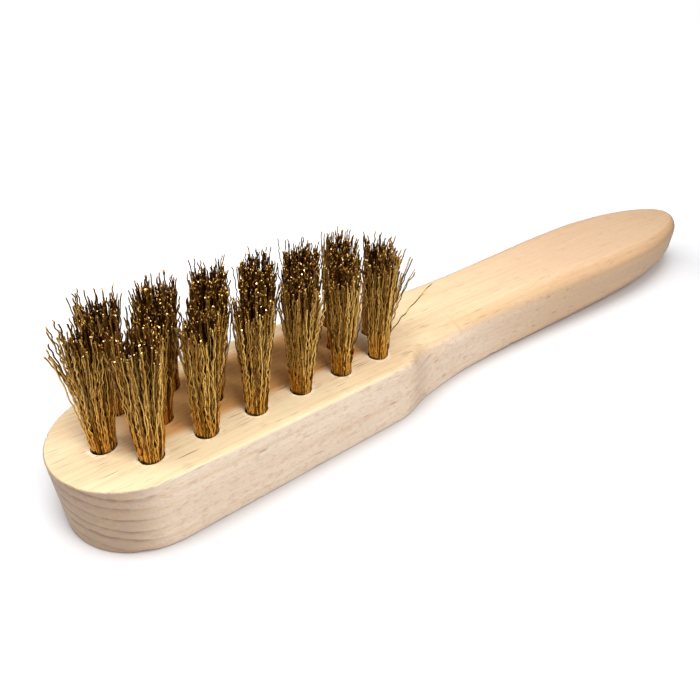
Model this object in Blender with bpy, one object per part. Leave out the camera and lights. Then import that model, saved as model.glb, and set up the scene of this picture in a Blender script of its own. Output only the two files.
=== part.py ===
"""Hand wire brush: a one-piece beech block with tufts of crimped brass wire, each held by a steel anchor.

The brush lies on its back, as it is laid down between uses. +X runs from the nose of the head to the end
of the handle, +Z points out of the tufted face, and the origin is on the flat underside, at the middle of
the brush's length and width. Every tuft is one bundle of wires, folded in half over its anchor, so it is
one piece with its fold at the bottom of a blind hole and its cut ends at the top. All sizes are in metres.
"""
import math

import bmesh
import bpy

# Block: driving dimensions.
LENGTH = 0.225
THICKNESS = 0.0153
HEAD_WIDTH = 0.0325
SHOULDER_START = 0.0690  # distances along the block are measured from the nose
SHOULDER_END = 0.0811
SHOULDER_STEP = 0.0020  # how far each side steps in over the shoulder
NECK_AT = 0.0985
NECK_WIDTH = 0.0234
SWELL_AT = 0.1745
SWELL_WIDTH = 0.0306
TIP_START = 0.1745  # from here the handle closes in a half ellipse

# Rounding of the block's edges: crisp round the head, softened by sanding on the handle, and fullest
# under the tip.
HEAD_EDGE = 0.0005
HANDLE_EDGE = 0.0025
TIP_EDGE = 0.0033
UNDER_TIP_EDGE = 0.0070
EDGE_BLEND_START = 0.0700
EDGE_BLEND_END = 0.1050
UNDER_BLEND_START = 0.0800
UNDER_BLEND_END = 0.2080
EDGE_STEPS = 4

# Tuft holes: three staggered rows, drilled square to the face.
HOLE_RADIUS = 0.00225
HOLE_DEPTH = 0.0105
DRILL_POINT = 0.0012  # height of the cone that the drill leaves at the bottom
HOLE_PITCH = 0.01043
FIRST_HOLE_AT = 0.0150  # of the two outer rows
NEAR_ROW_Y = -0.00886
MIDDLE_ROW_Y = -0.0004
FAR_ROW_Y = 0.0084
OUTER_HOLES = 6
MIDDLE_HOLES = 7
NOSE_DRIFT = 0.0010  # the middle and far rows start this much nearer to the near side

# How far (X, Y) a row's tufts stand over from their holes at the top: at the nose, and at the handle end.
ROW_LEANS = {
    "near": ((0.0021, 0.0), (0.0003, 0.0)),
    "middle": ((0.0023, -0.0004), (0.0008, -0.0012)),
    "far": ((0.0018, -0.0002), (0.0012, -0.0022)),
}
HEEL_START = 0.020  # between these distances from the nose the lean passes from one to the other
HEEL_END = 0.070

# Tufts.
TRIM_HEIGHT = 0.0228  # from the face of the block to the cut ends
TUFT_TOP_RADIUS = 0.0042
FOLD_HEIGHT = 0.0012
FOLD_TAPER = 0.55  # the width of the fold's lower end, as a share of the root's
FIT_GAP = 0.0003

# Anchors: a flat strip on edge, set across the grain, with its ends bitten into the wood.
ANCHOR_THICKNESS = 0.0004
ANCHOR_HEIGHT = 0.0020
ANCHOR_BITE = 0.0006  # how far each end reaches past the wall of its hole
ANCHOR_BASE = 0.0022  # from the bottom of the hole's wall to the strip's lower edge

OUTLINE_STEP = 0.0035
NOSE_SEGMENTS = 24
TIP_SEGMENTS = 22
HOLE_SEGMENTS = 16
TUFT_SEGMENTS = 14
TUFT_RINGS = 5

NOSE_RADIUS = HEAD_WIDTH / 2
HOLE_BOTTOM = THICKNESS - HOLE_DEPTH
ANCHOR_LOW = HOLE_BOTTOM + ANCHOR_BASE
ANCHOR_MIDDLE = ANCHOR_LOW + ANCHOR_HEIGHT / 2
ANCHOR_LENGTH = 2 * (HOLE_RADIUS + ANCHOR_BITE)


def new_collection(name):
    collection = bpy.data.collections.new(name)
    bpy.context.scene.collection.children.link(collection)
    return collection


def new_material(name, color, roughness, metallic):
    material = bpy.data.materials.new(name)
    material.use_nodes = True
    shader = material.node_tree.nodes["Principled BSDF"]
    shader.inputs["Base Color"].default_value = (*color, 1.0)
    shader.inputs["Roughness"].default_value = roughness
    shader.inputs["Metallic"].default_value = metallic
    material.diffuse_color = (*color, 1.0)
    return material


def new_object(name, mesh, collection, material=None):
    obj = bpy.data.objects.new(name, mesh)
    collection.objects.link(obj)
    if material:
        mesh.materials.append(material)
    return obj


def smooth_step(start, end, x):
    t = min(max((x - start) / (end - start), 0.0), 1.0)
    return t * t * (3 - 2 * t)


def mesh_from(bm, name, sharp_angle=math.radians(35)):
    bmesh.ops.recalc_face_normals(bm, faces=bm.faces)
    mesh = bpy.data.meshes.new(name)
    bm.to_mesh(mesh)
    bm.free()
    mesh.shade_smooth()
    mesh.set_sharp_from_angle(angle=sharp_angle)
    return mesh


def loft(bm, rings):
    """Joins rings with the same number of points by quads, and closes both ends."""
    verts = [[bm.verts.new(point) for point in ring] for ring in rings]
    count = len(rings[0])
    for low, high in zip(verts, verts[1:]):
        for i in range(count):
            j = (i + 1) % count
            bm.faces.new((low[i], low[j], high[j], high[i]))
    bm.faces.new(reversed(verts[0]))
    bm.faces.new(verts[-1])


# The block.
def half_width(x):
    """Half the block's width at a distance x from the nose, between the nose's arc and the tip's."""
    width = HEAD_WIDTH / 2
    width -= SHOULDER_STEP * smooth_step(SHOULDER_START, SHOULDER_END, x)
    taper = HEAD_WIDTH / 2 - SHOULDER_STEP - NECK_WIDTH / 2
    width -= taper * smooth_step(SHOULDER_START, NECK_AT, x)
    swell = (SWELL_WIDTH - NECK_WIDTH) / 2
    return width + swell * smooth_step(NECK_AT, SWELL_AT, x)


def edge_radius(x, top):
    """The rounding of the upper or the lower edge at a distance x from the nose."""
    rounding = HEAD_EDGE
    if not top:
        return rounding + (UNDER_TIP_EDGE - HEAD_EDGE) * smooth_step(UNDER_BLEND_START, UNDER_BLEND_END, x)
    rounding += (HANDLE_EDGE - HEAD_EDGE) * smooth_step(EDGE_BLEND_START, EDGE_BLEND_END, x)
    return rounding + (TIP_EDGE - HANDLE_EDGE) * smooth_step(EDGE_BLEND_END, LENGTH, x)


def upper_outline():
    """The +Y half of the outline as (distance from the nose, half width), nose and tip included."""
    points = []
    for i in range(NOSE_SEGMENTS + 1):
        angle = math.pi / 2 * i / NOSE_SEGMENTS
        points.append((NOSE_RADIUS * (1 - math.cos(angle)), NOSE_RADIUS * math.sin(angle)))
    straight = round((SHOULDER_START - NOSE_RADIUS) / (4 * OUTLINE_STEP))
    for i in range(1, straight + 1):
        points.append((NOSE_RADIUS + (SHOULDER_START - NOSE_RADIUS) * i / straight, NOSE_RADIUS))
    curved = round((TIP_START - SHOULDER_START) / OUTLINE_STEP)
    for i in range(1, curved):
        x = SHOULDER_START + (TIP_START - SHOULDER_START) * i / curved
        points.append((x, half_width(x)))
    for i in range(TIP_SEGMENTS + 1):
        angle = math.pi / 2 * i / TIP_SEGMENTS
        x = TIP_START + (LENGTH - TIP_START) * math.sin(angle)
        points.append((x, SWELL_WIDTH / 2 * math.cos(angle)))
    return points


def block_rings():
    """Outlines at rising heights, drawn in where the edges are rounded: square to the outline, and at the tip
    so that a half ellipse stays one."""
    upper = upper_outline()
    lower = [(x, -y) for x, y in reversed(upper[1:-1])]
    outline = upper[::-1] + lower[::-1]
    count = len(outline)
    normals = []
    for i in range(count):
        before, after = outline[i - 1], outline[(i + 1) % count]
        dx, dy = after[0] - before[0], after[1] - before[1]
        span = math.hypot(dx, dy)
        normal = (dy / span, -dx / span)
        x, y = outline[i]
        if x > TIP_START:
            normal = ((x - TIP_START) / (LENGTH - TIP_START), 2 * y / SWELL_WIDTH)
        normals.append(normal)

    def ring(angle, top):
        points = []
        for (x, y), (nx, ny) in zip(outline, normals):
            rounding = edge_radius(x, top)
            inset = rounding * (1 - math.cos(angle))
            rise = rounding * (1 - math.sin(angle))
            z = THICKNESS - rise if top else rise
            points.append((x - LENGTH / 2 - inset * nx, y - inset * ny, z))
        return points

    angles = [math.pi / 2 * i / EDGE_STEPS for i in range(EDGE_STEPS + 1)]
    return [ring(a, False) for a in reversed(angles)] + [ring(a, True) for a in angles]


def hole_cutter_mesh():
    """A drilled hole with its cone at the bottom, and the two nicks that the anchor's ends press in."""
    bm = bmesh.new()
    rings = []
    for radius, z in ((0.0002, HOLE_BOTTOM - DRILL_POINT), (HOLE_RADIUS, HOLE_BOTTOM),
                      (HOLE_RADIUS, THICKNESS + 0.001)):
        turns = [2 * math.pi * (i + 0.5) / HOLE_SEGMENTS for i in range(HOLE_SEGMENTS)]
        rings.append([(radius * math.cos(a), radius * math.sin(a), z) for a in turns])
    loft(bm, rings)
    return mesh_from(bm, "hole_cutter")


def box_mesh(name, size, middle_z):
    bm = bmesh.new()
    bmesh.ops.create_cube(bm, size=1.0)
    bmesh.ops.scale(bm, vec=size, verts=bm.verts)
    bmesh.ops.translate(bm, vec=(0, 0, middle_z), verts=bm.verts)
    return mesh_from(bm, name)


def cut(obj, cutter):
    modifier = obj.modifiers.new(cutter.name, "BOOLEAN")
    modifier.object = cutter
    modifier.operation = "DIFFERENCE"
    modifier.solver = "EXACT"


def hidden_cutter(name, mesh, collection, location=(0, 0, 0)):
    cutter = new_object(name, mesh, collection)
    cutter.location = location
    cutter.hide_render = True
    cutter.display_type = "WIRE"
    return cutter


def tuft_places():
    """Each tuft's name and its hole's place on the face."""
    middle_start = FIRST_HOLE_AT - HOLE_PITCH / 2
    rows = (("near", FIRST_HOLE_AT, NEAR_ROW_Y, OUTER_HOLES),
            ("middle", middle_start, MIDDLE_ROW_Y, MIDDLE_HOLES),
            ("far", FIRST_HOLE_AT, FAR_ROW_Y, OUTER_HOLES))
    for row, start, y, count in rows:
        for i in range(count):
            drift = NOSE_DRIFT if i == 0 and row != "near" else 0.0
            yield f"{row}_{i + 1}", start + i * HOLE_PITCH - drift / 2 - LENGTH / 2, y - drift


def build_block(parts, cutters, beech):
    bm = bmesh.new()
    loft(bm, block_rings())
    block = new_object("beech_block", mesh_from(bm, "beech_block"), parts, beech)
    hole = hole_cutter_mesh()
    nick_size = (ANCHOR_THICKNESS + 2 * FIT_GAP, ANCHOR_LENGTH + 2 * FIT_GAP, ANCHOR_HEIGHT + 2 * FIT_GAP)
    nick = box_mesh("nick_cutter", nick_size, ANCHOR_MIDDLE)
    for name, x, y in tuft_places():
        cut(block, hidden_cutter(f"hole_{name}", hole, cutters, (x, y, 0)))
        cut(block, hidden_cutter(f"nick_{name}", nick, cutters, (x, y, 0)))


def tuft_mesh(name, lean_x, lean_y):
    """A bundle: a rounded fold, a round root that fills the hole, and a body that spreads towards its top."""
    root = HOLE_RADIUS - FIT_GAP
    low = HOLE_BOTTOM + FIT_GAP
    sections = [(root * FOLD_TAPER, low, 0.0), (root, low + FOLD_HEIGHT, 0.0), (root, THICKNESS, 0.0)]
    for i in range(1, TUFT_RINGS + 1):
        t = i / TUFT_RINGS
        sections.append((root + (TUFT_TOP_RADIUS - root) * t, THICKNESS + TRIM_HEIGHT * t, t))
    turns = [2 * math.pi * i / TUFT_SEGMENTS for i in range(TUFT_SEGMENTS)]
    rings = []
    for r, z, t in sections:
        rings.append([(lean_x * t + r * math.cos(a), lean_y * t + r * math.sin(a), z) for a in turns])
    bm = bmesh.new()
    loft(bm, rings)
    return mesh_from(bm, name)


def lean_of(name, x):
    """The lean (X, Y) of a tuft, from its row and its place along the row."""
    at_nose, at_heel = ROW_LEANS[name.split("_")[0]]
    share = smooth_step(HEEL_START, HEEL_END, x + LENGTH / 2)
    return [nose + (heel - nose) * share for nose, heel in zip(at_nose, at_heel)]


def build_tufts(parts, cutters, brass):
    """Nineteen bundles, each with a window through its root, where the anchor lies in the fold."""
    window_size = (ANCHOR_THICKNESS + 2 * FIT_GAP, 3 * HOLE_RADIUS, ANCHOR_HEIGHT + 2 * FIT_GAP)
    window = box_mesh("window_cutter", window_size, ANCHOR_MIDDLE)
    for name, x, y in tuft_places():
        tuft = new_object(f"tuft_{name}", tuft_mesh(f"tuft_{name}", *lean_of(name, x)), parts, brass)
        tuft.location = (x, y, 0)
        cut(tuft, hidden_cutter(f"window_{name}", window, cutters, (x, y, 0)))


def build_anchors(parts, steel):
    strip = box_mesh("anchor_strip", (ANCHOR_THICKNESS, ANCHOR_LENGTH, ANCHOR_HEIGHT), 0.0)
    strip.materials.append(steel)
    for name, x, y in tuft_places():
        anchor = new_object(f"anchor_{name}", strip, parts)
        anchor.location = (x, y, ANCHOR_MIDDLE)


def main():
    for obj in list(bpy.data.objects):
        bpy.data.objects.remove(obj, do_unlink=True)
    parts = new_collection("wire_brush")
    cutters = new_collection("cutters")
    beech = new_material("beech", (0.78, 0.60, 0.42), 0.6, 0.0)
    brass = new_material("brass_wire", (0.52, 0.34, 0.10), 0.35, 1.0)
    steel = new_material("anchor_steel", (0.45, 0.45, 0.46), 0.4, 1.0)
    build_block(parts, cutters, beech)
    build_tufts(parts, cutters, brass)
    build_anchors(parts, steel)


main()
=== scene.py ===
"""Looks of the hand wire brush: a beech block with torn hole rims, tufts of crimped brass wires, and the
studio that it is shown in. Lengths are in metres unless a comment says otherwise."""
import math

import bmesh
import bpy
import numpy as np
from mathutils import Matrix, Vector, noise


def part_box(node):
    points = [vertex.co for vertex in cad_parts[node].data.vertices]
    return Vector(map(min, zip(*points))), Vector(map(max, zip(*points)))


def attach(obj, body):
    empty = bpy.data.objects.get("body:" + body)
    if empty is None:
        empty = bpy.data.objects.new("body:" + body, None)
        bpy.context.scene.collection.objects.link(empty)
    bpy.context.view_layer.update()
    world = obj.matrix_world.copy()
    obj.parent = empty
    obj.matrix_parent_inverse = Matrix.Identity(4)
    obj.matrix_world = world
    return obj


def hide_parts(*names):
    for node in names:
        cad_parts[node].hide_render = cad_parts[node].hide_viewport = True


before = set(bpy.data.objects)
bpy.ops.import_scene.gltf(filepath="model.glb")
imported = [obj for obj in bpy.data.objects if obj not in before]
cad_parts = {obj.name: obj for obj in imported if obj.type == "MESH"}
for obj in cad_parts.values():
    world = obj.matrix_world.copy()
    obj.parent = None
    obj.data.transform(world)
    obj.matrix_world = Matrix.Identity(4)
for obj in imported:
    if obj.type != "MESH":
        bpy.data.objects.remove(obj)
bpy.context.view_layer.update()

MM = 0.001

# The block. Its outline is the CAD's. Its edges are a little sharper than the CAD's at the head, reach their
# full rounding sooner past the shoulder, and are worn rounder along the near side of the handle.
BLOCK_LOW, BLOCK_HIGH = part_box("beech_block")
LENGTH = BLOCK_HIGH[0] - BLOCK_LOW[0]
HEAD_WIDTH = BLOCK_HIGH[1] - BLOCK_LOW[1]
THICKNESS = BLOCK_HIGH[2] - BLOCK_LOW[2]
NOSE_X = BLOCK_LOW[0]
NOSE_RADIUS = HEAD_WIDTH / 2
SHOULDER_START = 0.0690  # distances along the block are measured from the nose
SHOULDER_END = 0.0811
SHOULDER_STEP = 0.0020
NECK_AT = 0.0985
NECK_WIDTH = 0.0234
SWELL_AT = 0.1745
SWELL_WIDTH = 0.0306
TIP_START = 0.1745
HEAD_EDGE = 0.0003
HANDLE_EDGE = 0.0025
NEAR_HANDLE_EDGE = 0.0042
NEAR_EDGE_SPREAD = 1.6  # the near edge reaches this many times further over the top than down the side
TIP_EDGE = 0.0033
NEAR_TIP_EDGE = 0.0038
UNDER_TIP_EDGE = 0.0070
EDGE_BLEND_START = 0.0640
EDGE_BLEND_END = 0.0840
UNDER_BLEND_START = 0.0800
UNDER_BLEND_END = 0.2080

# Holes and tufts.
HOLE_RADIUS = 0.00225
HOLE_DEPTH = 0.0105
DRILL_POINT = 0.0012
RIM_CRUMBLE = 0.00009
ROWS = {"near": 6, "middle": 7, "far": 6}

# How far the cut ends of a row's tufts lean over in X and Y: at the nose, and towards the heel of the head. The
# one passes into the other between these distances from the nose.
HEEL_START = 0.020
HEEL_END = 0.070
ROW_LEANS = {
    "near": ((0.0021, 0.0), (0.0001, 0.0001)),
    "middle": ((0.0023, -0.0004), (0.0004, -0.0019)),
    "far": ((0.0012, 0.0003), (0.0007, -0.0027)),
}

# Wires. A leg is the part of a wire from the face of the block to its cut end.
WIRE_RADIUS = 0.00013
ROOT_RADIUS = 0.00211
ROOT_PITCH = 0.00030
ROOT_JITTER = 0.00003
ROOT_SHIFT = (0.00010, -0.00002)  # a bundle rests against the wall of its hole
FOLD_GAP = 0.00036  # from the middle of the anchor to the nearest wire's middle
BODY_HEIGHT = 0.0215
BODY_RADIUS = 0.0038
TALLEST = 0.02370
CRIMP_WAVE = 0.0020
CRIMP_SWING = 0.00015
LONG_BEND = 0.00045
CUT_TILT = 0.45  # how oblique the cut ends are, as a slope
LEG_CURVE = (0.85, 1.35)  # the higher this power, the more upright a leg leaves its root
OUTER_FROM = 0.62  # wires rooted further out than this share of ROOT_RADIUS are the tuft's outside

# How the wires of one half of a tuft differ from an even bundle.
SPREAD_JITTER = 0.06
END_JITTER = 0.00034
CLUMPS = 14
CLUMP_PULL = (0.10, 0.75)  # shares of the way to the middle of its clump that an end is drawn
HEIGHT_JITTER = 0.0005
LOOSE_SHARE = 0.32  # this share of the wires splays out and curves more
LOOSE_LEAST = 0.05  # it reaches this much further out, and on top of that so much on average and at most
LOOSE_MORE, LOOSE_MOST = 0.20, 0.65
LOOSE_CURVE = 0.25
TALL_SHARE = 0.30  # this share stands proud
TALL_RISE = (0.0004, 0.0030)
SHORT_SHARE = 0.28  # this share was cut short, by so much on average and at most
SHORT_DROP, SHORT_MOST = 0.0016, 0.0060
SPLAY_FROM = 0.7  # past this share of BODY_RADIUS an end is lower, by a share of its way beyond
SPLAY_DROP = 0.45
TALL_SPLAY_DROP = 0.12

# Wires that are placed one by one.
STRAY_ROOT = 0.70  # how far out in the bundle a stray wire's root stands, as a share of ROOT_RADIUS

# Material slots of a tuft.
OUTER_SLOT, INNER_SLOT, CUT_END_SLOT = 0, 1, 2

# The camera, and the point that it looks at.
CAMERA_TARGET = (NOSE_X + 0.0782, 0.0145, 0.0)
CAMERA_DISTANCE = 0.14999
CAMERA_AZIMUTH, CAMERA_ELEVATION, CAMERA_ROLL = -39.317, 33.078, 0.952  # degrees
CAMERA_LENS, CAMERA_SENSOR = 27.55, 36.0  # millimetres

# Light that the white surroundings give, as a share of a white background's.
AMBIENT = 0.045

# The floor: its tone (sRGB, 0..255), the light it adds to the eye beside the brush, and its contact shadow.
FLOOR_TONE = 231
FLOOR_GLOW = 0.11
CONTACT_REACH = 0.010
CONTACT_SHADE = 0.51

# Wires that stand out of their tuft: X, Y and height of the cut end over the middle of the hole, in
# millimetres, and the power of the curve.
STRAYS = {
    "middle_1": (
        (-2.1, 4.2, 23.3, 2.0), (-3.3, 2.2, 19.0, 2.6), (-1.5, 1.5, 22.5, 1.8), (-3.4, -0.6, 20.8, 2.6),
        (-4.0, 1.4, 19.9, 2.8), (-3.0, 0.8, 22.1, 2.2), (-2.4, 3.0, 23.1, 2.2), (-2.0, -1.0, 21.4, 2.0),
        (-2.8, 2.0, 18.2, 2.4), (-0.8, 5.6, 23.4, 1.9), (-0.2, 5.0, 22.8, 1.8),
    ),
    "far_1": (
        (-2.1, 3.6, 23.5, 1.4), (-1.2, 1.0, 23.5, 1.4), (5.9, 4.0, 23.4, 1.5), (5.5, 1.2, 22.8, 1.4),
        (6.6, 2.6, 22.1, 1.5), (0.2, 6.0, 23.5, 1.5), (1.0, 4.2, 23.6, 1.2), (2.7, 4.4, 23.5, 1.3),
        (-0.8, 4.8, 23.3, 1.5),
    ),
    "far_2": (
        (0.8, 2.8, 23.6, 1.2), (-2.9, -1.1, 23.5, 1.5),
    ),
    "far_3": (
        (-0.3, 4.6, 23.6, 1.4), (1.6, 1.7, 23.6, 1.1), (6.0, 2.7, 23.4, 1.8), (7.4, 4.2, 23.1, 2.2),
        (5.0, 3.6, 23.0, 1.7),
    ),
    "far_4": (
        (2.1, 3.7, 23.6, 1.3), (3.8, 1.0, 23.6, 1.3), (6.4, 1.8, 23.2, 1.9),
    ),
    "far_5": (
        (0.6, 2.1, 23.6, 1.2), (-3.7, -2.4, 23.3, 1.5), (-0.8, 4.4, 23.4, 1.4),
    ),
    "far_6": (
        (-1.5, 1.6, 23.6, 1.2), (1.4, 0.3, 23.6, 1.1), (2.8, -1.6, 23.5, 1.2),
    ),
    "middle_7": (
        (5.0, -1.3, 23.4, 1.6), (4.2, -0.8, 23.5, 1.5), (4.9, -3.5, 21.0, 1.6), (1.1, 5.0, 23.5, 1.6),
        (2.9, 3.2, 23.6, 1.4), (3.2, 1.5, 23.6, 1.2), (0.1, 2.3, 23.6, 1.2), (-0.7, 3.0, 23.4, 1.3),
        (-1.4, 1.0, 23.5, 1.2),
    ),
    "near_6": (
        (13.7, -1.6, 14.1, 1.6), (10.4, 2.2, 20.0, 1.7), (10.0, 1.2, 20.1, 1.75), (8.9, -0.6, 18.5, 1.7),
        (6.8, -2.8, 19.3, 1.7), (6.6, 1.2, 20.9, 1.7), (5.0, -1.6, 19.0, 1.7), (5.7, 2.6, 21.6, 1.6),
    ),
}


def smooth_step(start, end, x):
    t = np.clip((x - start) / (end - start), 0.0, 1.0)
    return t * t * (3 - 2 * t)


def hole_places():
    """Each tuft's name and the middle of its hole, read from the anchor that lies across it."""
    for row, count in ROWS.items():
        for i in range(count):
            name = f"{row}_{i + 1}"
            low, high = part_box(f"anchor_{name}")
            yield name, (low[0] + high[0]) / 2, (low[1] + high[1]) / 2


HOLES = list(hole_places())


# Node helpers.
class Nodes:
    """A short way to write a material's node tree."""

    def __init__(self, name):
        self.material = bpy.data.materials.new(name)
        self.material.use_nodes = True
        self.tree = self.material.node_tree
        self.shader = self.tree.nodes["Principled BSDF"]

    def put(self, socket, value):
        if isinstance(value, bpy.types.NodeSocket):
            self.tree.links.new(value, socket)
        else:
            socket.default_value = value

    def node(self, kind, inputs=None, **settings):
        made = self.tree.nodes.new("ShaderNode" + kind)
        for key, value in settings.items():
            setattr(made, key, value)
        for key, value in (inputs or {}).items():
            self.put(made.inputs[key], value)
        return made

    def math(self, operation, *values, clamp=False):
        made = self.node("Math", operation=operation, use_clamp=clamp)
        for index, value in enumerate(values):
            self.put(made.inputs[index], value)
        return made.outputs[0]

    def mix(self, factor, a, b, blend="MIX"):
        made = self.node("Mix", data_type="RGBA", blend_type=blend)
        self.put(made.inputs[0], factor)
        self.put(made.inputs[6], a)
        self.put(made.inputs[7], b)
        return made.outputs[2]

    def ramp(self, value, low, high, start=0.0, end=1.0):
        """value from low..high mapped smoothly to start..end."""
        made = self.node("MapRange", interpolation_type="SMOOTHSTEP")
        for index, item in enumerate((value, low, high, start, end)):
            self.put(made.inputs[index], item)
        return made.outputs[0]

    def scaled(self, vector, scale, location=(0, 0, 0)):
        made = self.node("Mapping", {"Vector": vector, "Scale": scale, "Location": location})
        return made.outputs[0]

    def noise(self, vector, scale=1.0, detail=2.0, roughness=0.5):
        made = self.node("TexNoise", {"Vector": vector, "Scale": scale, "Detail": detail,
                                      "Roughness": roughness})
        return made.outputs["Fac"]


def rgb(red, green, blue):
    """An sRGB colour given in 0..255, as the linear colour that a socket takes."""
    def linear(value):
        value /= 255
        return value / 12.92 if value <= 0.04045 else ((value + 0.055) / 1.055) ** 2.4
    return (linear(red), linear(green), linear(blue), 1.0)


def flecks(n, place, scale, size, seed, share):
    """Short lens-shaped marks: one of its own size in the middle of a share of the stretched cells."""
    moved = n.scaled(place, scale, (seed, seed, seed))
    cells = n.node("TexVoronoi", {"Vector": moved, "Scale": 1.0}, feature="F1")
    split = n.node("SeparateColor", {"Color": cells.outputs["Color"]})
    reach = n.math("MULTIPLY_ADD", split.outputs[0], size / share, size - size / share)
    depth = n.math("SUBTRACT", reach, cells.outputs["Distance"])
    return n.math("DIVIDE", depth, size * 0.5, clamp=True)


def from_holes(n, x, y):
    """Millimetres from the point x, y (also in millimetres) to the middle of the nearest hole. The holes of
    a row stand a pitch apart on one line, except for its first hole."""
    nearest = 100.0
    for row, count in ROWS.items():
        places = [(a / MM, b / MM) for name, a, b in HOLES if name.startswith(row)]
        pitch = places[2][0] - places[1][0]
        start_x, start_y = places[1][0] - pitch, places[1][1]
        number = n.math("ROUND", n.math("DIVIDE", n.math("SUBTRACT", x, start_x), pitch))
        number = n.math("MINIMUM", n.math("MAXIMUM", number, 0.0), count - 1.0)
        first = n.math("LESS_THAN", number, 0.5)
        middle_x = n.math("ADD", n.math("MULTIPLY", number, pitch), start_x)
        middle_x = n.math("ADD", middle_x, n.math("MULTIPLY", first, places[0][0] - start_x))
        middle_y = n.math("ADD", n.math("MULTIPLY", first, places[0][1] - start_y), start_y)
        squares = n.math("ADD", n.math("POWER", n.math("SUBTRACT", x, middle_x), 2.0),
                         n.math("POWER", n.math("SUBTRACT", y, middle_y), 2.0))
        nearest = n.math("MINIMUM", n.math("SQRT", squares), nearest)
    return nearest


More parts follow.
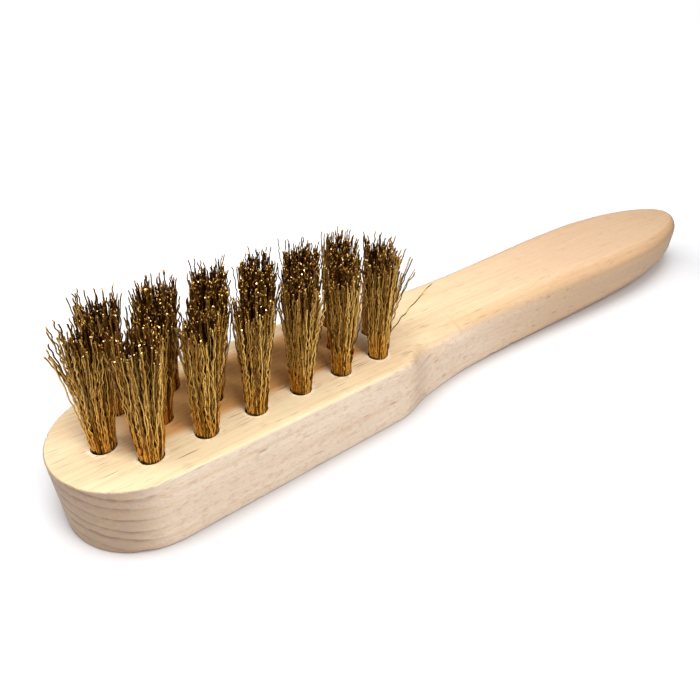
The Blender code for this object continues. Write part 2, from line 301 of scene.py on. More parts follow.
def beech_material():
    n = Nodes("beech")
    coordinates = n.node("TexCoord").outputs["Object"]
    place = n.scaled(coordinates, (1 / MM, 1 / MM, 1 / MM))  # in millimetres
    warp = n.node("TexNoise", {"Vector": n.scaled(place, (0.012, 0.06, 0.06)), "Scale": 1.0, "Detail": 2.0})
    shift = n.node("VectorMath", operation="MULTIPLY_ADD")
    n.put(shift.inputs[0], warp.outputs["Color"])
    n.put(shift.inputs[1], (0.0, 3.0, 2.0))
    n.put(shift.inputs[2], place)
    bent = shift.outputs[0]
    normal = n.node("SeparateXYZ", {"Vector": n.node("NewGeometry").outputs["Normal"]})
    end_grain = n.ramp(n.math("ABSOLUTE", normal.outputs[0]), 0.10, 0.65)
    top = n.ramp(n.math("ABSOLUTE", normal.outputs[2]), 0.45, 0.9)
    flank = n.math("MULTIPLY", n.math("SUBTRACT", 1.0, top), n.math("SUBTRACT", 1.0, end_grain))

    # Growth rings: shells round a pith that lies well below the block, towards its far side.
    split = n.node("SeparateXYZ", {"Vector": bent})
    along = split.outputs[0]
    across = n.math("SUBTRACT", split.outputs[1], 13.0)
    up = n.math("ADD", n.math("ADD", split.outputs[2], 85.0), n.math("MULTIPLY", along, 0.015))
    squares = n.math("ADD", n.math("POWER", across, 2.0), n.math("POWER", up, 2.0))
    shell = n.math("DIVIDE", n.math("SQRT", squares), 2.45)
    uneven = n.noise(n.node("CombineXYZ", {"X": shell}).outputs[0], 0.9, 1.0)
    wavy = n.math("MULTIPLY", n.noise(n.scaled(place, (0.3, 0.35, 0.5)), 1.0, 3.0), 0.30)
    ring = n.math("FRACT", n.math("ADD", n.math("ADD", shell, wavy), n.math("MULTIPLY", uneven, 1.1)))
    late = n.math("MULTIPLY", n.ramp(ring, 0.66, 0.93), n.ramp(ring, 1.0, 0.95))
    broad = n.math("MULTIPLY", n.ramp(ring, 0.2, 0.95), n.ramp(ring, 1.0, 0.97))
    patchy = n.ramp(n.noise(n.scaled(place, (0.16, 0.16, 0.5)), 1.0, 3.0), 0.3, 0.62, 0.15, 1.0)

    # Rays: brown flecks on the sides, thin dark dashes on the face, fewer on the worn handle.
    side_flecks = flecks(n, bent, (0.24, 0.9, 1.0), 0.42, 3.1, 0.42)
    small_flecks = flecks(n, bent, (0.6, 2.6, 2.8), 0.36, 8.3, 0.40)
    dashes = flecks(n, bent, (0.17, 3.2, 0.6), 0.46, 7.7, 0.34)
    fine_dashes = flecks(n, bent, (0.32, 4.6, 1.0), 0.46, 1.9, 0.42)
    lines = flecks(n, bent, (0.08, 2.6, 0.5), 0.44, 5.3, 0.14)
    fibre = n.noise(n.scaled(bent, (0.10, 7.0, 7.0)), 1.0, 3.0, 0.65)
    streaks = n.noise(n.scaled(bent, (0.025, 1.1, 1.1)), 1.0, 2.0, 0.55)
    cloud = n.noise(n.scaled(bent, (0.03, 0.16, 0.16)), 1.0, 2.0)
    speck = n.noise(n.scaled(bent, (1.2, 5.0, 5.0)), 1.0, 2.0, 0.7)
    mottle = n.noise(n.scaled(bent, (0.5, 0.7, 0.9)), 1.0, 2.0, 0.6)

    pale = n.mix(n.ramp(cloud, 0.35, 0.65), rgb(243, 220, 179), rgb(241, 211, 171))
    # Painted shade: the top darkens towards the handle, where less light falls than on the head.
    pale = n.mix(n.ramp(along, -50.0, 50.0), pale, rgb(233, 197, 162))
    side_tone = n.mix(n.ramp(cloud, 0.35, 0.65), rgb(239, 220, 197), rgb(231, 209, 186))
    # Painted shade: the sides darken towards the handle in the same way.
    side_tone = n.mix(n.ramp(along, -30.0, 35.0), side_tone, rgb(203, 174, 143))
    color = n.mix(top, side_tone, pale)
    color = n.mix(n.math("MULTIPLY", end_grain, 0.85), color, rgb(180, 154, 131))
    color = n.mix(n.math("MULTIPLY", n.math("MULTIPLY", broad, end_grain), 0.38), color, rgb(158, 128, 104))
    blush = n.math("MULTIPLY", n.ramp(mottle, 0.52, 0.68), n.math("SUBTRACT", 1.0, top))
    color = n.mix(n.math("MULTIPLY", blush, 0.28), color, rgb(196, 146, 126))
    ring_strength = n.math("ADD", n.math("MULTIPLY", end_grain, 0.55), n.math("MULTIPLY", flank, 0.05))
    ring_strength = n.math("MULTIPLY", ring_strength, patchy)
    color = n.mix(n.math("MULTIPLY", late, ring_strength), color, rgb(112, 86, 66))
    color = n.mix(n.math("MULTIPLY", n.ramp(streaks, 0.45, 0.7), 0.35), color, rgb(220, 180, 130))
    color = n.mix(n.math("MULTIPLY", n.ramp(fibre, 0.42, 0.75), 0.25), color, rgb(196, 156, 112))
    marks = n.math("MULTIPLY", n.math("MAXIMUM", side_flecks, n.math("MULTIPLY", small_flecks, 0.6)), flank)
    color = n.mix(n.math("MULTIPLY", marks, 0.6), color, rgb(172, 124, 100))
    dark = n.math("MAXIMUM", dashes, n.math("MULTIPLY", fine_dashes, 0.6))
    dark = n.math("MAXIMUM", dark, lines)
    dark = n.math("MULTIPLY", dark, n.ramp(along, -60.0, 20.0, 1.0, 0.45))
    color = n.mix(n.math("MULTIPLY", n.math("MULTIPLY", dark, top), 0.75), color, rgb(136, 92, 50))
    off_top = n.math("SUBTRACT", 1.0, top)
    grit = n.math("MULTIPLY", n.ramp(speck, 0.46, 0.78), n.math("MULTIPLY", off_top, 0.34))
    color = n.mix(grit, color, rgb(168, 128, 100))

    # A light strip along the straight edges of the head: partly lifted fibres, partly a painted highlight on
    # the edge.
    x, y, z = n.node("SeparateXYZ", {"Vector": place}).outputs
    wide = n.math("ABSOLUTE", y)
    edge_x = n.math("MULTIPLY", n.ramp(x, -96.0, -86.0), n.ramp(x, -40.0, -52.0))
    ragged = n.noise(n.scaled(place, (0.45, 0.8, 0.8)), 1.0, 4.0)
    strip = n.math("ADD", wide, n.math("MULTIPLY", ragged, 3.2))
    strip = n.math("MULTIPLY", n.ramp(strip, 16.6, 17.4), n.ramp(z, 14.3, 14.9))
    strip = n.math("MULTIPLY", strip, edge_x)
    color = n.mix(n.math("MULTIPLY", strip, 0.55), color, rgb(253, 232, 188))

    # Painted shade on the walls of the holes, and torn, light fibres round them.
    reach = from_holes(n, x, y)
    bore_shade = n.math("MULTIPLY", n.ramp(reach, 2.8, 2.5), n.ramp(z, 15.15, 14.7))
    bore_shade = n.math("MULTIPLY", bore_shade, n.ramp(z, 1.0, 2.0))
    color = n.mix(bore_shade, color, rgb(84, 52, 28))
    sliver = n.noise(n.scaled(place, (0.9, 2.6, 1.0), (7.0, 3.0, 0.0)), 1.0, 3.0, 0.6)
    torn = n.math("MULTIPLY", n.ramp(reach, 3.4, 2.5), n.ramp(sliver, 0.44, 0.56))
    torn = n.math("MULTIPLY", torn, n.ramp(z, 15.0, 15.2))
    color = n.mix(n.math("MULTIPLY", torn, 0.75), color, rgb(254, 240, 212))

    # Painted shade between the rows: the face there is tinted warm brown, as the tufts shade it and the brass
    # throws golden light onto it.
    past_nose = n.math("MINIMUM", n.math("SUBTRACT", x, (NOSE_X + NOSE_RADIUS) / MM), 0.0)
    from_axis = n.math("SQRT", n.math("ADD", n.math("POWER", past_nose, 2.0), n.math("POWER", wide, 2.0)))
    row_shade = n.math("MULTIPLY", n.ramp(y, -7.6, -5.0), n.ramp(from_axis, 13.0, 9.0))
    row_shade = n.math("MULTIPLY", row_shade, n.ramp(x, -103.0, -96.0))
    row_shade = n.math("MULTIPLY", row_shade, n.ramp(x, -42.0, -50.0))
    color = n.mix(n.math("MULTIPLY", row_shade, 0.8), color, rgb(214, 160, 74), "MULTIPLY")

    # Painted shade on the handle's rounded edges, which are tinted darker than the top and the sides.
    slant = normal.outputs[2]
    wear_and_shade = n.math("MULTIPLY", n.ramp(slant, 0.10, 0.75), n.ramp(slant, 1.0, 0.90))
    wear_and_shade = n.math("MULTIPLY", wear_and_shade, n.ramp(x, -36.0, -12.0))
    color = n.mix(n.math("MULTIPLY", wear_and_shade, 0.45), color, rgb(224, 204, 172), "MULTIPLY")
    n.put(n.shader.inputs["Base Color"], color)
    n.put(n.shader.inputs["Roughness"], n.ramp(fibre, 0.2, 0.8, 0.5, 0.68))
    n.put(n.shader.inputs["Specular IOR Level"], 0.35)
    height = n.math("SUBTRACT", n.math("MULTIPLY", fibre, 0.4), n.math("MULTIPLY", dark, 0.7))
    height = n.math("SUBTRACT", height, n.math("MULTIPLY", side_flecks, 0.3))
    height = n.math("SUBTRACT", height, n.math("MULTIPLY", n.math("MULTIPLY", late, end_grain), 0.3))
    bump = n.node("Bump", {"Height": height, "Strength": 0.4, "Distance": 0.00012})
    n.put(n.shader.inputs["Normal"], bump.outputs[0])
    return n.material


def brass_material(name, shade, top_shade):
    """Drawn brass wire: each has its own tone, warmer near the wood, and darker towards the cut ends by painted
    shade.
    shade is the share of light that reaches it in its bundle, painted into its colour; top_shade is how dark
    the painted shade makes it at its cut end."""
    n = Nodes(name)
    coordinates = n.node("TexCoord").outputs["Object"]
    height = n.node("SeparateXYZ", {"Vector": coordinates}).outputs[2]
    rise = n.ramp(height, THICKNESS - 0.001, THICKNESS + 0.011)
    tone = n.node("NewGeometry").outputs["Random Per Island"]
    color = n.mix(rise, rgb(208, 150, 52), rgb(192, 146, 68))
    color = n.mix(n.ramp(tone, 0.55, 0.95, 0.0, 0.85), color, rgb(232, 192, 108))
    color = n.mix(n.ramp(tone, 0.48, 0.10, 0.0, 0.85), color, rgb(92, 56, 18))
    place = n.scaled(coordinates, (1 / MM, 1 / MM, 1 / MM))
    stain = n.noise(place, 1.1, 3.0, 0.6)
    color = n.mix(n.ramp(stain, 0.5, 0.8, 0.0, 0.6), color, rgb(80, 50, 18))
    # Painted shade: the wires darken towards their cut ends, at the shaded tops of the tufts.
    painted_top_shade = n.ramp(height, THICKNESS + 0.015, THICKNESS + 0.0225, 0.0, top_shade)
    color = n.mix(painted_top_shade, color, rgb(86, 40, 9))
    # Painted shade: wires inside the bundle get less light, so their colour is darkened.
    color = n.mix(1.0 - shade, color, rgb(30, 16, 5))
    n.put(n.shader.inputs["Base Color"], color)
    n.put(n.shader.inputs["Metallic"], 1.0)
    n.put(n.shader.inputs["Roughness"], n.ramp(stain, 0.3, 0.8, 0.26, 0.44))
    return n.material


def cut_end_material():
    n = Nodes("wire_cut_end")
    tone = n.node("NewGeometry").outputs["Random Per Island"]
    # Painted shade: most cut ends are dark brown for the shaded tops of the tufts; the rest are bright brass.
    color = n.mix(n.math("GREATER_THAN", tone, 0.66), rgb(118, 76, 28), rgb(246, 214, 150))
    n.put(n.shader.inputs["Base Color"], color)
    n.put(n.shader.inputs["Metallic"], 1.0)
    n.put(n.shader.inputs["Roughness"], 0.34)
    return n.material


def steel_material():
    n = Nodes("anchor_strip_steel")
    place = n.scaled(n.node("TexCoord").outputs["Object"], (4 / MM, 0.6 / MM, 4 / MM))
    drawn = n.noise(place, 1.0, 3.0)
    color = n.mix(drawn, rgb(150, 150, 152), rgb(190, 190, 192))
    n.put(n.shader.inputs["Base Color"], color)
    n.put(n.shader.inputs["Metallic"], 1.0)
    n.put(n.shader.inputs["Roughness"], n.ramp(drawn, 0.2, 0.8, 0.3, 0.5))
    return n.material


def floor_material():
    """Pale and matt, with a painted warm contact shadow where the brush touches it. Away from the brush, beside
    the handle and beyond its tip it glows a little to the eye, so that it is evenly white there."""
    n = Nodes("white_sweep")
    x, y, _ = n.node("SeparateXYZ", {"Vector": n.node("TexCoord").outputs["Object"]}).outputs
    beyond = n.math("MAXIMUM", n.math("SUBTRACT", n.math("ABSOLUTE", x), LENGTH / 2), 0.0)
    beside = n.math("MAXIMUM", n.math("SUBTRACT", n.math("ABSOLUTE", y), HEAD_WIDTH / 2), 0.0)
    squares = n.math("ADD", n.math("POWER", beyond, 2.0), n.math("POWER", beside, 2.0))
    glow = n.ramp(n.math("SQRT", squares), 0.004, 0.16)
    at_handle = n.math("MULTIPLY", n.ramp(x, 0.0, 0.10), n.ramp(y, -0.015, 0.010, 0.06, 0.16))
    at_handle = n.math("ADD", at_handle, n.ramp(x, 0.105, 0.125, 0.0, 0.14))
    glow = n.math("ADD", glow, n.math("ADD", at_handle, FLOOR_GLOW))
    seen = n.node("LightPath").outputs["Is Camera Ray"]
    # Painted contact shadow: the base colour darkens to a warm brown where the brush closes in.
    open_share = n.node("AmbientOcclusion", {"Distance": CONTACT_REACH}, samples=16).outputs["AO"]
    closed = n.math("MULTIPLY", n.math("SUBTRACT", 1.0, open_share), 2.0, clamp=True)
    shade = n.math("MULTIPLY", n.math("POWER", closed, 3.0), CONTACT_SHADE)
    light = n.math("SUBTRACT", 1.0, shade)
    base = n.mix(shade, rgb(FLOOR_TONE, FLOOR_TONE, FLOOR_TONE + 2), rgb(122, 96, 78))
    n.put(n.shader.inputs["Base Color"], base)
    n.put(n.shader.inputs["Roughness"], 0.8)
    n.put(n.shader.inputs["Specular IOR Level"], 0.2)
    n.put(n.shader.inputs["Emission Color"], (1.0, 1.0, 1.0, 1.0))
    n.put(n.shader.inputs["Emission Strength"], n.math("MULTIPLY", n.math("MULTIPLY", glow, light), seen))
    return n.material


# The block.
def half_width(x):
    width = HEAD_WIDTH / 2
    width = width - SHOULDER_STEP * smooth_step(SHOULDER_START, SHOULDER_END, x)
    taper = HEAD_WIDTH / 2 - SHOULDER_STEP - NECK_WIDTH / 2
    width = width - taper * smooth_step(SHOULDER_START, NECK_AT, x)
    return width + (SWELL_WIDTH - NECK_WIDTH) / 2 * smooth_step(NECK_AT, SWELL_AT, x)


def edge_radius(x, y, top):
    if not top:
        return HEAD_EDGE + (UNDER_TIP_EDGE - HEAD_EDGE) * smooth_step(UNDER_BLEND_START, UNDER_BLEND_END, x)
    near = smooth_step(0.002, -0.006, y)
    handle = HANDLE_EDGE + (NEAR_HANDLE_EDGE - HANDLE_EDGE) * near
    tip = TIP_EDGE + (NEAR_TIP_EDGE - TIP_EDGE) * near
    rounding = HEAD_EDGE + (handle - HEAD_EDGE) * smooth_step(EDGE_BLEND_START, EDGE_BLEND_END, x)
    return rounding + (tip - handle) * smooth_step(EDGE_BLEND_END, LENGTH, x)


def edge_spread(x, y):
    """How much wider than high the rounding of the upper edge is."""
    handle = smooth_step(EDGE_BLEND_START, EDGE_BLEND_END, x) * smooth_step(LENGTH, TIP_START, x)
    return 1 + (NEAR_EDGE_SPREAD - 1) * smooth_step(0.002, -0.006, y) * handle


def upper_outline(step=0.0006, nose_segments=72, tip_segments=90):
    points = []
    for i in range(nose_segments + 1):
        angle = math.pi / 2 * i / nose_segments
        points.append((NOSE_RADIUS * (1 - math.cos(angle)), NOSE_RADIUS * math.sin(angle)))
    curved = round((TIP_START - NOSE_RADIUS) / step)
    for i in range(1, curved):
        x = NOSE_RADIUS + (TIP_START - NOSE_RADIUS) * i / curved
        points.append((x, float(half_width(x))))
    for i in range(tip_segments + 1):
        angle = math.pi / 2 * i / tip_segments
        x = TIP_START + (LENGTH - TIP_START) * math.sin(angle)
        points.append((x, SWELL_WIDTH / 2 * math.cos(angle)))
    return points


def chip(x, y, top):
    """How much more than its nominal radius the edge is broken: small spots of wear and a few chips."""
    place = Vector((x / MM, y / MM, 40.0 if top else 80.0))
    wear_and_shade = 0.5 + 0.5 * noise.noise(place * 0.9)
    torn = max(0.0, noise.noise(place * 2.1 + Vector((4, 7, 2))))
    nick = max(0.0, noise.noise(place * 0.45 + Vector((9, 3, 1))) - 0.27)
    return 0.00008 * wear_and_shade + 0.00030 * torn + 0.0013 * nick


def block_mesh():
    upper = upper_outline()
    lower = [(x, -y) for x, y in reversed(upper[1:-1])]
    outline = np.array(upper[::-1] + lower[::-1])
    span = np.roll(outline, -1, axis=0) - np.roll(outline, 1, axis=0)
    span /= np.linalg.norm(span, axis=1)[:, None]
    normals = np.stack([span[:, 1], -span[:, 0]], axis=1)
    tip = outline[:, 0] > TIP_START
    normals[tip] = (outline[tip] - (TIP_START, 0)) / (LENGTH - TIP_START, SWELL_WIDTH / 2)
    steps = 8
    flat_margin = 0.00015

    def radii(top):
        chips = np.array([chip(x, y, top) for x, y in outline])
        return edge_radius(outline[:, 0], outline[:, 1], top) + chips

    bottom, top = radii(False), radii(True)
    spread = edge_spread(outline[:, 0], outline[:, 1])

    def ring(radius, angle, is_top, inset_more=0.0, drop_more=0.0):
        inset = radius * (1 - math.cos(angle)) * (spread if is_top else 1.0) + inset_more
        rise = radius * (1 - math.sin(angle)) + drop_more
        xy = outline - normals * inset[:, None]
        z = THICKNESS - rise if is_top else rise
        return np.column_stack([xy[:, 0] + NOSE_X, xy[:, 1], z])

    angles = [math.pi / 2 * i / steps for i in range(steps + 1)]
    zero = np.zeros(len(outline))
    rings = [ring(bottom, math.pi / 2, False, flat_margin)]
    rings += [ring(bottom, a, False) for a in reversed(angles)]
    rings.append(ring(bottom, 0.0, False, zero, flat_margin))
    rings.append(ring(top, 0.0, True, zero, flat_margin))
    rings += [ring(top, a, True) for a in angles]
    rings.append(ring(top, math.pi / 2, True, flat_margin))
    bm = bmesh.new()
    verts = [[bm.verts.new(point) for point in one] for one in rings]
    count = len(outline)
    for low, high in zip(verts, verts[1:]):
        for i in range(count):
            j = (i + 1) % count
            bm.faces.new((low[i], low[j], high[j], high[i]))
    bm.faces.new(reversed(verts[0]))
    bm.faces.new(verts[-1])
    bmesh.ops.recalc_face_normals(bm, faces=bm.faces)
    mesh = bpy.data.meshes.new("block")
    bm.to_mesh(mesh)
    bm.free()
    return mesh


def holes_mesh(segments=48):
    """The drilled holes as one cutter: a cone, a wall, and a slightly crumbled rim."""
    bm = bmesh.new()
    floor = THICKNESS - HOLE_DEPTH
    for name, x, y in HOLES:
        rings = []
        levels = ((0.0001, floor - DRILL_POINT, 0.0), (HOLE_RADIUS, floor, 0.0),
                  (HOLE_RADIUS, THICKNESS - 0.00022, 0.2), (HOLE_RADIUS, THICKNESS - 0.00005, 0.6),
                  (HOLE_RADIUS + 0.00004, THICKNESS + 0.0003, 1.0))
        for radius, z, rough in levels:
            ring = []
            for i in range(segments):
                a = 2 * math.pi * i / segments
                spot = Vector((x / MM + 3 * math.cos(a), y / MM + 3 * math.sin(a), 2.0))
                r = radius + rough * RIM_CRUMBLE * (noise.noise(spot * 1.3) + 0.3)
                ring.append(bm.verts.new((x + r * math.cos(a), y + r * math.sin(a), z)))
            rings.append(ring)
        for low, high in zip(rings, rings[1:]):
            for i in range(segments):
                j = (i + 1) % segments
                bm.faces.new((low[i], low[j], high[j], high[i]))
        bm.faces.new(reversed(rings[0]))
        bm.faces.new(rings[-1])
    bmesh.ops.recalc_face_normals(bm, faces=bm.faces)
    mesh = bpy.data.meshes.new("holes")
    bm.to_mesh(mesh)
    bm.free()
    return mesh


def link(name, mesh, *materials):
    obj = bpy.data.objects.new(name, mesh)
    bpy.context.scene.collection.objects.link(obj)
    for material in materials:
        mesh.materials.append(material)
    return obj


def build_block(wood):
    block = link("beech_block_wood", block_mesh(), wood)
    cutter = link("hole_cutter", holes_mesh(), wood)
    cut = block.modifiers.new("holes", "BOOLEAN")
    cut.object = cutter
    cut.operation = "DIFFERENCE"
    cut.solver = "EXACT"
    bpy.context.view_layer.update()
    ready = bpy.data.meshes.new_from_object(block.evaluated_get(bpy.context.evaluated_depsgraph_get()))
    block.modifiers.clear()
    block.data = ready
    bpy.data.objects.remove(cutter, do_unlink=True)
    ready.shade_smooth()
    ready.set_sharp_from_angle(angle=math.radians(34))
    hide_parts("beech_block")
    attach(block, "root")


# The tufts.
def root_spots(rng):
    """Places of the wires in one half of a hole, closely packed: away from the anchor, and along it."""
    spots = []
    line_gap = ROOT_PITCH * 0.866  # the height of an equal-sided triangle
    lines = int(2 * ROOT_RADIUS / line_gap) + 1
    for line in range(lines):
        y = -ROOT_RADIUS + (line + 0.5) * line_gap
        for column in range(20):
            x = ROOT_PITCH * (column + 0.5 * (line % 2) + 0.35)
            if math.hypot(x, y) < ROOT_RADIUS:
                spots.append((x, y))
    spots = np.array(spots)
    return spots + rng.normal(0, ROOT_JITTER, spots.shape)


def lean_of(name, x):
    """The lean (X, Y) of a tuft, from its row and its place along the row."""
    at_nose, at_heel = ROW_LEANS[name.split("_")[0]]
    share = smooth_step(HEEL_START, HEEL_END, x - NOSE_X)
    return np.array([nose + (heel - nose) * share for nose, heel in zip(at_nose, at_heel)])


def leg_ends(rng, spots, lean):
    """Where each cut end stands, seen from the middle of its hole, its height, and its leg's power."""
    count = len(spots)
    spread = BODY_RADIUS / ROOT_RADIUS * (1 + rng.normal(0, SPREAD_JITTER, count))
    ends = spots * spread[:, None] + rng.normal(0, END_JITTER, spots.shape)
    clumps = ends[rng.integers(0, count, CLUMPS)]
    nearest = np.argmin(np.linalg.norm(ends[:, None] - clumps[None], axis=2), axis=1)
    ends += (clumps[nearest] - ends) * rng.uniform(*CLUMP_PULL, (count, 1))
    loose = rng.random(count) < LOOSE_SHARE
    more = np.minimum(rng.exponential(LOOSE_MORE, (loose.sum(), 1)), LOOSE_MOST)
    ends[loose] *= 1 + LOOSE_LEAST + more
    height = BODY_HEIGHT + rng.normal(0, HEIGHT_JITTER, count)
    tall = rng.random(count) < TALL_SHARE
    height[tall] += rng.uniform(*TALL_RISE, tall.sum())
    short = rng.random(count) < SHORT_SHARE
    height[short] -= np.minimum(rng.exponential(SHORT_DROP, short.sum()), SHORT_MOST)
    out = np.maximum(np.linalg.norm(ends, axis=1) - SPLAY_FROM * BODY_RADIUS, 0)
    height -= np.where(tall, TALL_SPLAY_DROP, SPLAY_DROP) * out
    curve = rng.uniform(*LEG_CURVE, count) + np.where(loose, LOOSE_CURVE, 0.0)
    return ends + lean, np.minimum(height, TALLEST), curve


def pull_strays(strays, spots, ends, height, curve):
    """Gives each stray end to a wire whose root stands on its side of the hole, inside the bundle."""
    free = np.ones(len(spots), bool)
    for x, y, rise, power in strays:
        x, y, rise = x * MM, y * MM, rise * MM
        target = np.array([x, y]) / math.hypot(x, y) * STRAY_ROOT * ROOT_RADIUS
        away = np.linalg.norm(spots - target, axis=1) + np.where(free, 0.0, 1.0)
        wire = int(np.argmin(away))
        free[wire] = False
        ends[wire] = (x, y)
        height[wire] = rise
        curve[wire] = power


def leg_points(rng, spots, ends, height, curve, count):
    """Centre lines of the legs: (wires, count, 3). Each one bows, bends and is crimped in its own way."""
    wires = len(spots)
    t = np.linspace(0, 1, count)[None, :]

    def draw(low, high):
        return rng.uniform(low, high, wires)[:, None]

    def turns(wave):
        return 2 * math.pi * rise / wave + draw(0, 2 * math.pi)

    rise = height[:, None] * t
    share = t ** curve[:, None]
    root = spots + np.array(ROOT_SHIFT)
    x = root[:, :1] + (ends[:, :1] - root[:, :1]) * share
    y = root[:, 1:] + (ends[:, 1:] - root[:, 1:]) * share
    bend = LONG_BEND * draw(0.2, 1.0) * np.sin(math.pi * t) * np.sin(turns(draw(0.011, 0.022)))
    bend_turn = draw(0, 2 * math.pi)
    sway = 0.5 * CRIMP_SWING * np.sin(turns(draw(0.0036, 0.0060))) * smooth_step(0, 0.15, t)
    swing = CRIMP_SWING * draw(0.35, 1.5) * (0.8 + 0.4 * np.sin(turns(draw(0.005, 0.012))))
    swing = swing * (0.35 + 0.65 * smooth_step(0, 0.10, t))
    crimp = swing * np.sin(turns(CRIMP_WAVE * draw(0.85, 1.35)) + 1.2 * np.sin(turns(draw(0.006, 0.011))))
    crimp_turn = draw(0, 2 * math.pi) + 0.8 * np.sin(turns(draw(0.009, 0.018)))
    x = x + bend * np.cos(bend_turn) + crimp * np.cos(crimp_turn) - sway * np.sin(crimp_turn)
    y = y + bend * np.sin(bend_turn) + crimp * np.sin(crimp_turn) + sway * np.cos(crimp_turn)
    return np.stack([x, y, THICKNESS + rise], axis=2)


def fold_points(spots, anchor_low):
    """The hidden part of each wire: down one side of the anchor, round under it and up the other side."""
    x, y = spots[:, 0][:, None], spots[:, 1][:, None]
    near = FOLD_GAP + x * (ROOT_RADIUS - FOLD_GAP) / ROOT_RADIUS
    levels = np.linspace(THICKNESS - 0.0009, anchor_low + 0.0023, 4)[None, :]
    squeeze = smooth_step(THICKNESS, anchor_low + 0.0030, levels)
    leg_x = x + (near - x) * squeeze
    leg_z = np.broadcast_to(levels, leg_x.shape)
    shift_x, shift_y = ROOT_SHIFT[0] * (1 - squeeze), ROOT_SHIFT[1] * (1 - squeeze)
    down = np.stack([shift_x - leg_x, y + shift_y, leg_z], axis=2)
    rise = np.stack([shift_x + leg_x, y + shift_y, leg_z], axis=2)[:, ::-1]
    turns = np.linspace(math.pi, 2 * math.pi, 9)[None, :]
    arc_x = near * np.cos(turns)
    arc_z = anchor_low + 0.0002 + near * np.sin(turns)
    arc = np.stack([arc_x, np.broadcast_to(y, arc_x.shape), arc_z], axis=2)
    return np.concatenate([down, arc, rise], axis=1)


def tubes(paths, sides, radius, tilts):
    """Vertices, quads and caps of closed tubes along paths (wires, points, 3). Frames don't twist: one axis
    keeps to +Y's side. The cut ends are as oblique as tilts (wires, 2 ends, 2 axes) says."""
    wires, count, _ = paths.shape
    tangent = np.gradient(paths, axis=1)
    tangent /= np.linalg.norm(tangent, axis=2)[:, :, None]
    first = np.cross(tangent, np.array([0.0, 1.0, 0.0]))
    first /= np.linalg.norm(first, axis=2)[:, :, None]
    second = np.cross(tangent, first)
    around = np.linspace(0, 2 * math.pi, sides, endpoint=False)
    circle = np.stack([np.cos(around), np.sin(around)], axis=1)
    ring = circle[:, :1] * first[:, :, None, :] + circle[:, 1:] * second[:, :, None, :]
    for end in (0, -1):
        ring[:, end] += (tilts[:, end] @ circle.T)[:, :, None] * tangent[:, end, None, :]
    verts = (paths[:, :, None, :] + radius * ring).reshape(-1, 3)
    grid = np.arange(wires * count * sides).reshape(wires, count, sides)
    a, b = grid[:, :-1], grid[:, 1:]
    quads = np.stack([a, np.roll(a, -1, axis=2), np.roll(b, -1, axis=2), b], axis=3).reshape(-1, 4)
    caps = np.concatenate([grid[:, 0, ::-1], grid[:, -1]])
    return verts, quads, caps


def wires_mesh(name, groups):
    """One mesh from (paths, sides, tilts, slot) groups. Cut ends get the last material."""
    verts, faces, kinds = [], [], []
    start = 0
    for paths, sides, tilts, slot in groups:
        points, quads, caps = tubes(paths, sides, WIRE_RADIUS, tilts)
        verts.append(points)
        faces += [(quads + start), (caps + start)]
        kinds += [(len(quads), slot), (len(caps), CUT_END_SLOT)]
        start += len(points)
    points = np.concatenate(verts)
    mesh = bpy.data.meshes.new(name)
    mesh.vertices.add(len(points))
    mesh.vertices.foreach_set("co", points.astype(np.float32).ravel())
    sizes = np.concatenate([np.full(len(f), f.shape[1]) for f in faces])
    mesh.loops.add(int(sizes.sum()))
    mesh.loops.foreach_set("vertex_index", np.concatenate([f.ravel() for f in faces]).astype(np.int32))
    mesh.polygons.add(len(sizes))
    mesh.polygons.foreach_set("loop_start", np.concatenate([[0], np.cumsum(sizes)[:-1]]).astype(np.int32))
    slots = np.concatenate([np.full(n, kind) for n, kind in kinds])
    mesh.polygons.foreach_set("material_index", slots.astype(np.int32))
    mesh.polygons.foreach_set("use_smooth", slots != CUT_END_SLOT)
    mesh.update(calc_edges=True)
    mesh.validate()
    return mesh


def tuft_paths(rng, name, x, y, anchor_low):
    """The (paths, sides, tilts, slot) groups of one tuft. A wire is two legs and the fold between them."""
    spots = root_spots(rng)
    lean = lean_of(name, x)
    sides = {}
    for side in (-1, 1):
        roots = spots * np.array([side, 1])
        sides[side] = (roots, *leg_ends(rng, roots, lean))
        pull_strays([stray for stray in STRAYS.get(name, ()) if stray[0] * side > 0], *sides[side])
    outer = np.hypot(spots[:, 0], spots[:, 1]) > OUTER_FROM * ROOT_RADIUS
    finer, coarser = (outer, CRIMP_WAVE / 5, 6, OUTER_SLOT), (~outer, CRIMP_WAVE / 4, 4, INNER_SLOT)
    groups = []
    for chosen, step, corners, slot in (finer, coarser):
        count = int(BODY_HEIGHT / step) + 1
        legs = {}
        for side, parts in sides.items():
            legs[side] = leg_points(rng, *[part[chosen] for part in parts], count)
        fold = fold_points(spots[chosen], anchor_low)
        path = np.concatenate([legs[-1][:, ::-1], fold, legs[1]], axis=1)
        tilts = rng.normal(0, CUT_TILT, (len(path), 2, 2))
        groups.append((path + np.array([x, y, 0.0]), corners, tilts, slot))
    return groups


def build_tufts(*materials):
    """The materials come in the order of the slots."""
    for index, (name, x, y) in enumerate(HOLES):
        rng = np.random.default_rng(100 + index)
        anchor_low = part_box(f"anchor_{name}")[0][2]
        mesh = wires_mesh(f"wires_{name}", tuft_paths(rng, name, x, y, anchor_low))
        tuft = link(f"wires_{name}", mesh, *materials)
        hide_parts(f"tuft_{name}")
        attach(tuft, "root")


# The studio.
def build_floor():
    bm = bmesh.new()
    bmesh.ops.create_grid(bm, x_segments=1, y_segments=1, size=3.0)
    mesh = bpy.data.meshes.new("floor")
    bm.to_mesh(mesh)
    bm.free()
    floor = link("floor", mesh, floor_material())
    floor.location.z = -0.00005


def area_light(name, place, target, size, power, color=(1, 1, 1)):
    light = bpy.data.lights.new(name, "AREA")
    light.shape = "RECTANGLE"
    light.size, light.size_y = size
    light.energy = power
    light.color = color
    obj = bpy.data.objects.new(name, light)
    bpy.context.scene.collection.objects.link(obj)
    obj.location = place
    obj.rotation_euler = (Vector(target) - Vector(place)).to_track_quat("-Z", "Y").to_euler()


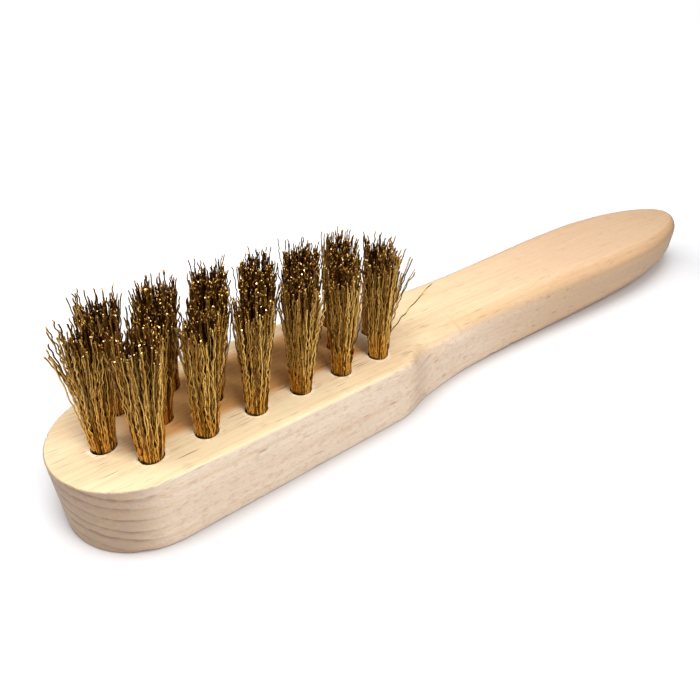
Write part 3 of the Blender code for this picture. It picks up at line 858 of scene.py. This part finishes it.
def build_lights():
    area_light("key", (-0.05, -0.20, 0.28), (-0.04, 0, 0.01), (0.15, 0.15), 0.85)
    area_light("overhead", (-0.05, 0.0, 0.35), (-0.04, 0, 0.01), (0.30, 0.30), 0.58)
    area_light("nose_light", (-0.10, 0.0, 0.28), (-0.04, 0, 0.01), (0.25, 0.25), 0.18)
    area_light("left_fill", (-0.30, 0.15, 0.30), (-0.04, 0, 0.01), (0.20, 0.20), 0.56)
    world = bpy.data.worlds.new("studio")
    world.use_nodes = True
    tree = world.node_tree
    seen = tree.nodes.new("ShaderNodeLightPath").outputs["Is Camera Ray"]
    strength = tree.nodes.new("ShaderNodeMapRange")
    strength.inputs["To Min"].default_value = AMBIENT
    tree.links.new(seen, strength.inputs["Value"])
    tree.links.new(strength.outputs[0], tree.nodes["Background"].inputs["Strength"])
    tree.nodes["Background"].inputs["Color"].default_value = (1, 1, 1, 1)
    bpy.context.scene.world = world


def build_camera():
    azimuth, elevation = math.radians(CAMERA_AZIMUTH), math.radians(CAMERA_ELEVATION)
    roll = math.radians(CAMERA_ROLL)
    back = Vector((math.sin(azimuth) * math.cos(elevation), -math.cos(azimuth) * math.cos(elevation),
                   math.sin(elevation)))
    right = Vector((0, 0, 1)).cross(back).normalized()
    up = back.cross(right)
    turned_right = math.cos(roll) * right + math.sin(roll) * up
    turned_up = -math.sin(roll) * right + math.cos(roll) * up
    camera = bpy.data.cameras.new("camera")
    camera.sensor_width = CAMERA_SENSOR
    camera.lens = CAMERA_LENS
    camera.clip_start = 0.01
    obj = bpy.data.objects.new("camera", camera)
    bpy.context.scene.collection.objects.link(obj)
    turn = Matrix((turned_right, turned_up, back)).transposed()
    place = Vector(CAMERA_TARGET) + CAMERA_DISTANCE * back
    obj.matrix_world = Matrix.Translation(place) @ turn.to_4x4()
    bpy.context.scene.camera = obj


def main():
    build_camera()
    build_block(beech_material())
    # The inner wires get more painted shade than the outer ones.
    build_tufts(brass_material("brass_wire", 1.0, 0.16), brass_material("brass_wire_inside", 0.78, 0.72),
                cut_end_material())
    steel = steel_material()
    for name, _, _ in HOLES:
        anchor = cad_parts[f"anchor_{name}"]
        for slot in anchor.material_slots:
            slot.material = steel
    build_floor()
    build_lights()
    scene = bpy.context.scene
    scene.view_settings.view_transform = "Standard"
    scene.view_settings.look = "None"


main()
